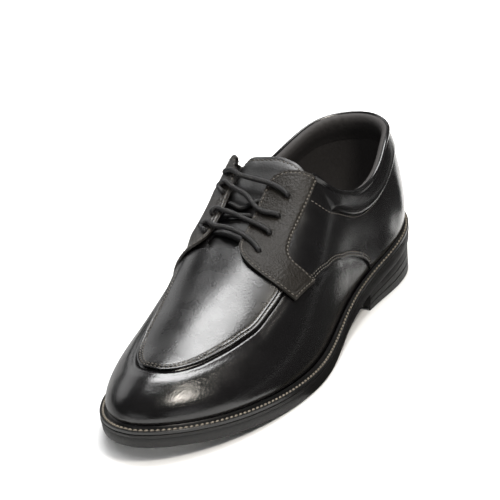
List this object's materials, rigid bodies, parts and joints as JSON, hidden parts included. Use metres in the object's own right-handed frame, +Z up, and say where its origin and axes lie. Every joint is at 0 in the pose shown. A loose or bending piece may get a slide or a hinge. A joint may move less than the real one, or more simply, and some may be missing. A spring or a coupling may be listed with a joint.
{
  "type": "chef shoe",
  "caption": "Left black leather lace-up work shoe with a raised apron, open lacing, padded collar, stitched welt and a lugged rubber sole with a heel block.",
  "frame": {"origin": "middle of the bounding box, on the floor under the sole", "axes": "+X to the toe, +Y to the little-toe side (wearer's left), +Z up"},
  "size_m": [0.2996, 0.1026, 0.1025],
  "materials": {
    "leather": "smooth black leather, half gloss, fine grain",
    "welt": "satin black welt with a stitched channel",
    "rubber": "matt dark rubber",
    "lining": "matt dark lining",
    "lace": "waxed round cord"
  },
  "bodies": {
    "root": {"outsole": "rubber", "heel": "rubber", "welt": "welt", "insole": "lining", "upper": "leather", "apron": "leather", "facing_outer": "leather", "facing_inner": "leather", "collar": "leather", "backstay": "leather", "tongue": "leather", "laces": "lace"}
  },
  "joints": []
}
